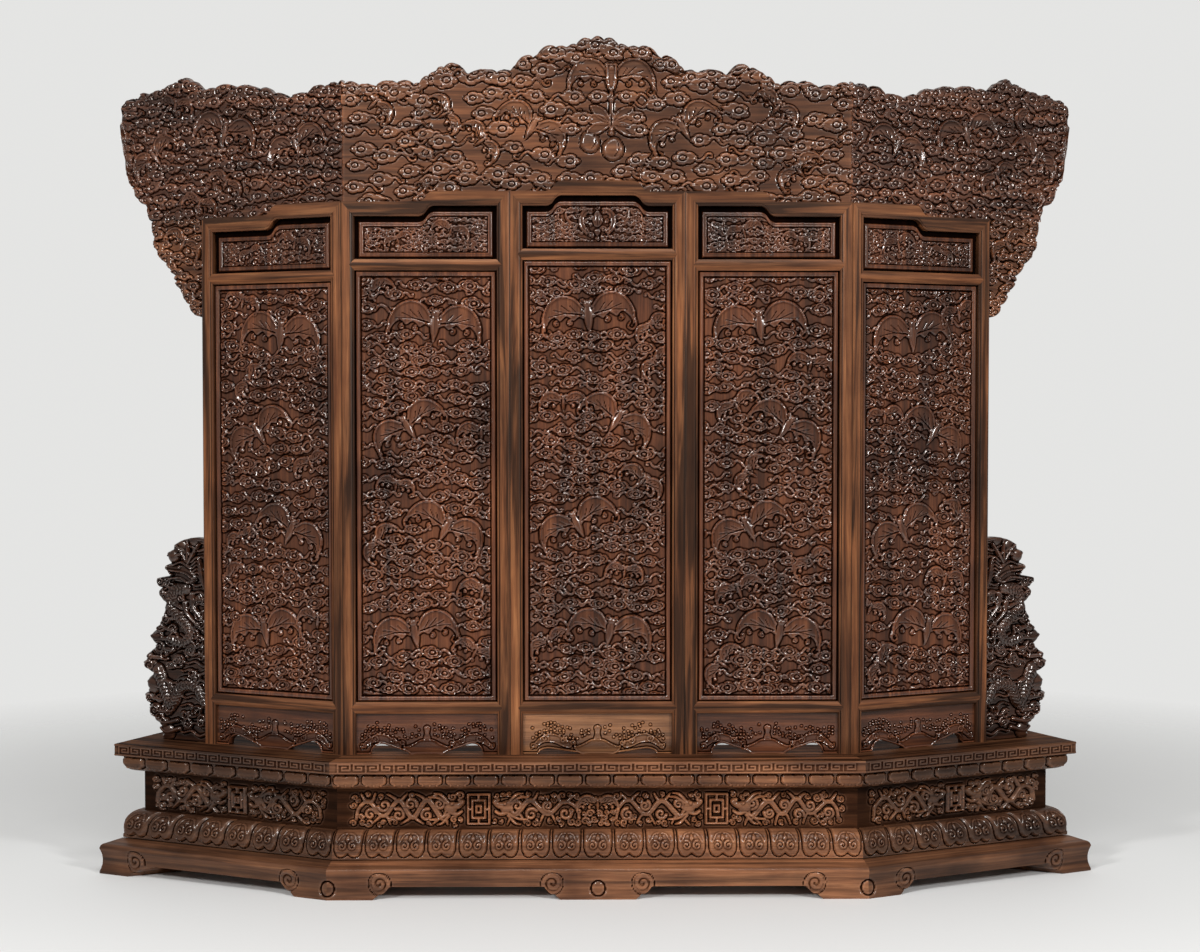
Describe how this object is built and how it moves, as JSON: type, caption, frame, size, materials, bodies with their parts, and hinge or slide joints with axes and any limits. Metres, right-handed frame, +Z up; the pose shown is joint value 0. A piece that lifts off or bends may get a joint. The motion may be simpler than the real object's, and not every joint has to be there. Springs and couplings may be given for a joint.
{
  "type": "standing screen",
  "caption": "Standing wooden screen of framed carved panels under a lobed crest, with wings turned back, lobed side brackets and a mitred lotus base on scroll feet; it lifts apart on tenons.",
  "frame": {"origin": "on the floor, under the middle of the screen's plan", "axes": "+X to the viewer's right along the middle leaves, +Y to the back, +Z up"},
  "size_m": [3.3668, 0.739, 2.7728],
  "materials": {
    "frame_wood": "polished",
    "carved_wood": "polished",
    "crest_wood": "polished",
    "base_wood": "polished",
    "inner_wood": "planed"
  },
  "bodies": {
    "base": {"base_left_plinth": "base_wood", "base_left_lotus": "base_wood", "base_left_waist": "base_wood", "base_left_cornice": "base_wood", "base_left_top_board": "base_wood", "base_centre_plinth": "base_wood", "base_centre_lotus": "base_wood", "base_centre_waist": "base_wood", "base_centre_cornice": "base_wood", "base_centre_top_board": "base_wood", "base_right_plinth": "base_wood", "base_right_lotus": "base_wood", "base_right_waist": "base_wood", "base_right_cornice": "base_wood", "base_right_top_board": "base_wood", "base_bearers": "inner_wood", "base_section_keys": "inner_wood"},
    "leaf_1": {"leaf_1_stiles": "frame_wood", "leaf_1_top_rail": "frame_wood", "leaf_1_cross_rails": "frame_wood", "leaf_1_upper_panel": "carved_wood", "leaf_1_main_panel": "carved_wood", "leaf_1_apron": "carved_wood", "upper_spandrel_left": "crest_wood"},
    "leaf_2": {"leaf_2_stiles": "frame_wood", "leaf_2_top_rail": "frame_wood", "leaf_2_cross_rails": "frame_wood", "leaf_2_upper_panel": "carved_wood", "leaf_2_main_panel": "carved_wood", "leaf_2_apron": "carved_wood", "leaf_2_keys": "inner_wood"},
    "leaf_3": {"leaf_3_stiles": "frame_wood", "leaf_3_top_rail": "frame_wood", "leaf_3_cross_rails": "frame_wood", "leaf_3_upper_panel": "carved_wood", "leaf_3_main_panel": "carved_wood", "leaf_3_apron": "carved_wood", "leaf_3_keys": "inner_wood"},
    "leaf_4": {"leaf_4_stiles": "frame_wood", "leaf_4_top_rail": "frame_wood", "leaf_4_cross_rails": "frame_wood", "leaf_4_upper_panel": "carved_wood", "leaf_4_main_panel": "carved_wood", "leaf_4_apron": "carved_wood", "leaf_4_keys": "inner_wood"},
    "leaf_5": {"leaf_5_stiles": "frame_wood", "leaf_5_top_rail": "frame_wood", "leaf_5_cross_rails": "frame_wood", "leaf_5_upper_panel": "carved_wood", "leaf_5_main_panel": "carved_wood", "leaf_5_apron": "carved_wood", "upper_spandrel_right": "crest_wood"},
    "crest_left": {"crest_left": "crest_wood", "crest_left_pegs": "inner_wood"},
    "crest_centre": {"crest_centre": "crest_wood", "crest_centre_pegs": "inner_wood"},
    "crest_right": {"crest_right": "crest_wood", "crest_right_pegs": "inner_wood"},
    "lower_spandrel_left": {"lower_spandrel_left": "crest_wood"},
    "lower_spandrel_right": {"lower_spandrel_right": "crest_wood"}
  },
  "joints": [
    {"name": "leaf_1_lift", "type": "slide", "parent": "base", "child": "leaf_1", "axis": [0, 0, 1], "range_m": [0, 0.06]},
    {"name": "leaf_2_lift", "type": "slide", "parent": "base", "child": "leaf_2", "axis": [0, 0, 1], "range_m": [0, 0.06]},
    {"name": "leaf_3_lift", "type": "slide", "parent": "base", "child": "leaf_3", "axis": [0, 0, 1], "range_m": [0, 0.06]},
    {"name": "leaf_4_lift", "type": "slide", "parent": "base", "child": "leaf_4", "axis": [0, 0, 1], "range_m": [0, 0.06]},
    {"name": "leaf_5_lift", "type": "slide", "parent": "base", "child": "leaf_5", "axis": [0, 0, 1], "range_m": [0, 0.06]},
    {"name": "crest_left_lift", "type": "slide", "parent": "leaf_1", "child": "crest_left", "axis": [0, 0, 1], "range_m": [0, 0.06]},
    {"name": "crest_centre_lift", "type": "slide", "parent": "leaf_3", "child": "crest_centre", "axis": [0, 0, 1], "range_m": [0, 0.06]},
    {"name": "crest_right_lift", "type": "slide", "parent": "leaf_5", "child": "crest_right", "axis": [0, 0, 1], "range_m": [0, 0.06]},
    {"name": "lower_spandrel_left_lift", "type": "slide", "parent": "base", "child": "lower_spandrel_left", "axis": [0, 0, 1], "range_m": [0, 0.06]},
    {"name": "lower_spandrel_right_lift", "type": "slide", "parent": "base", "child": "lower_spandrel_right", "axis": [0, 0, 1], "range_m": [0, 0.06]}
  ],
  "couplings": [
    {"joint": "leaf_2_lift", "follows": "leaf_3_lift", "ratio": 1},
    {"joint": "leaf_4_lift", "follows": "leaf_3_lift", "ratio": 1}
  ]
}
